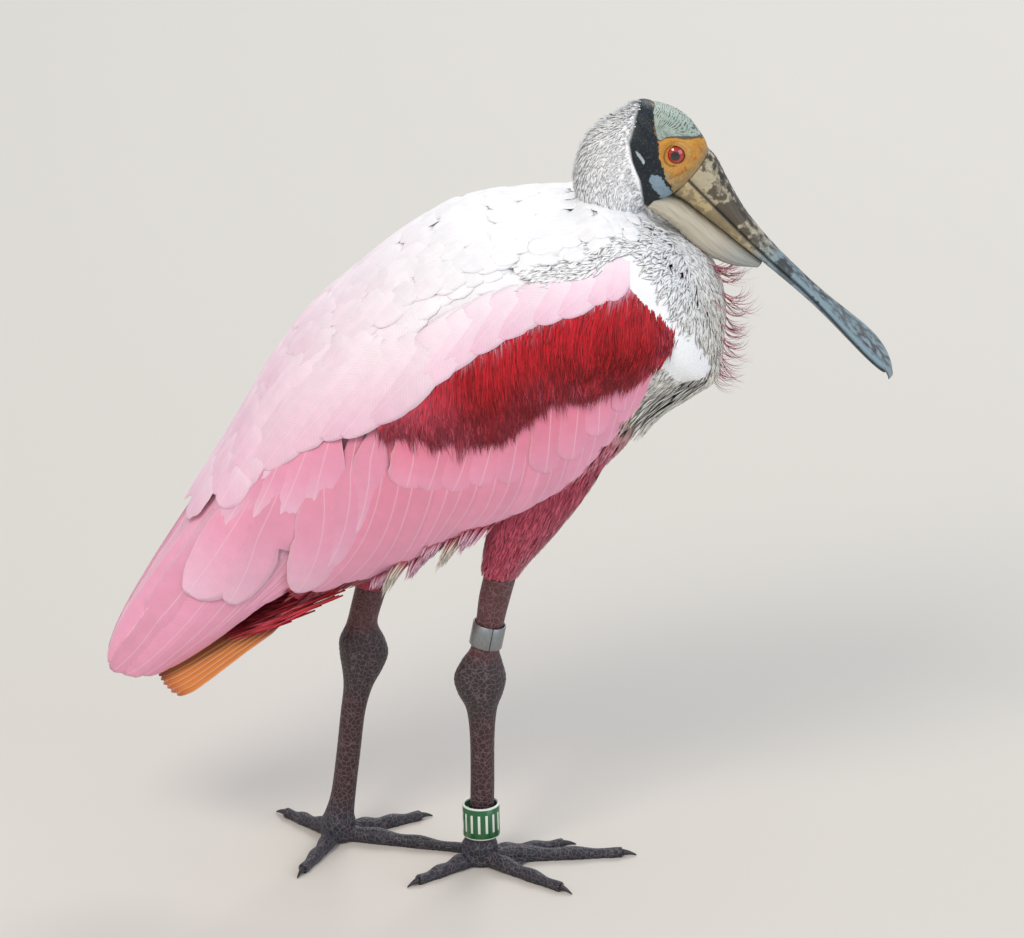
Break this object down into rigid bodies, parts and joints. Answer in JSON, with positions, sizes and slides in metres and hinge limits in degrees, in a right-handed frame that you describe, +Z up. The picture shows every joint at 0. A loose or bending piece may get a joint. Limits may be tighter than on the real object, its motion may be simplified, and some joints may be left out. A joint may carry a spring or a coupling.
{
  "type": "roseate spoonbill",
  "caption": "Wading bird standing still with folded pink wings, neck drawn in and a long flat spoon-ended bill, life size, with a leg ring and a leg band.",
  "frame": {"origin": "on the floor, at the centre of the box round the whole bird", "axes": "+X is the way the bird faces, +Z is up, -Y is the bird's right side"},
  "size_m": [0.4562, 0.149, 0.472],
  "materials": {
    "body_feathers": "soft matte",
    "white_down": "soft matte",
    "bare_skin": "matte",
    "pouch_skin": "matte",
    "bill_horn": "satin",
    "eye": "gloss",
    "wing_feathers": "soft matte",
    "tail_feathers": "soft matte",
    "thigh_feathers": "soft matte",
    "leg_skin": "matte",
    "claw_horn": "satin",
    "ring_metal": "satin",
    "band_plastic": "gloss"
  },
  "bodies": {
    "root": {"torso": "body_feathers", "neck_upper": "white_down", "neck_lower": "white_down", "head": "bare_skin", "throat_pouch": "pouch_skin", "bill_upper": "bill_horn", "bill_lower": "bill_horn", "eye_right": "eye", "eye_left": "eye", "wing_right": "wing_feathers", "wing_left": "wing_feathers", "tail": "tail_feathers", "band_metal": "ring_metal", "band_green": "band_plastic", "thigh_right": "thigh_feathers", "shank_right": "leg_skin", "foot_right": "leg_skin", "claw_middle_right": "claw_horn", "claw_outer_right": "claw_horn", "claw_inner_right": "claw_horn", "claw_hind_right": "claw_horn", "thigh_left": "thigh_feathers", "shank_left": "leg_skin", "foot_left": "leg_skin", "claw_middle_left": "claw_horn", "claw_outer_left": "claw_horn", "claw_inner_left": "claw_horn", "claw_hind_left": "claw_horn"}
  },
  "joints": []
}
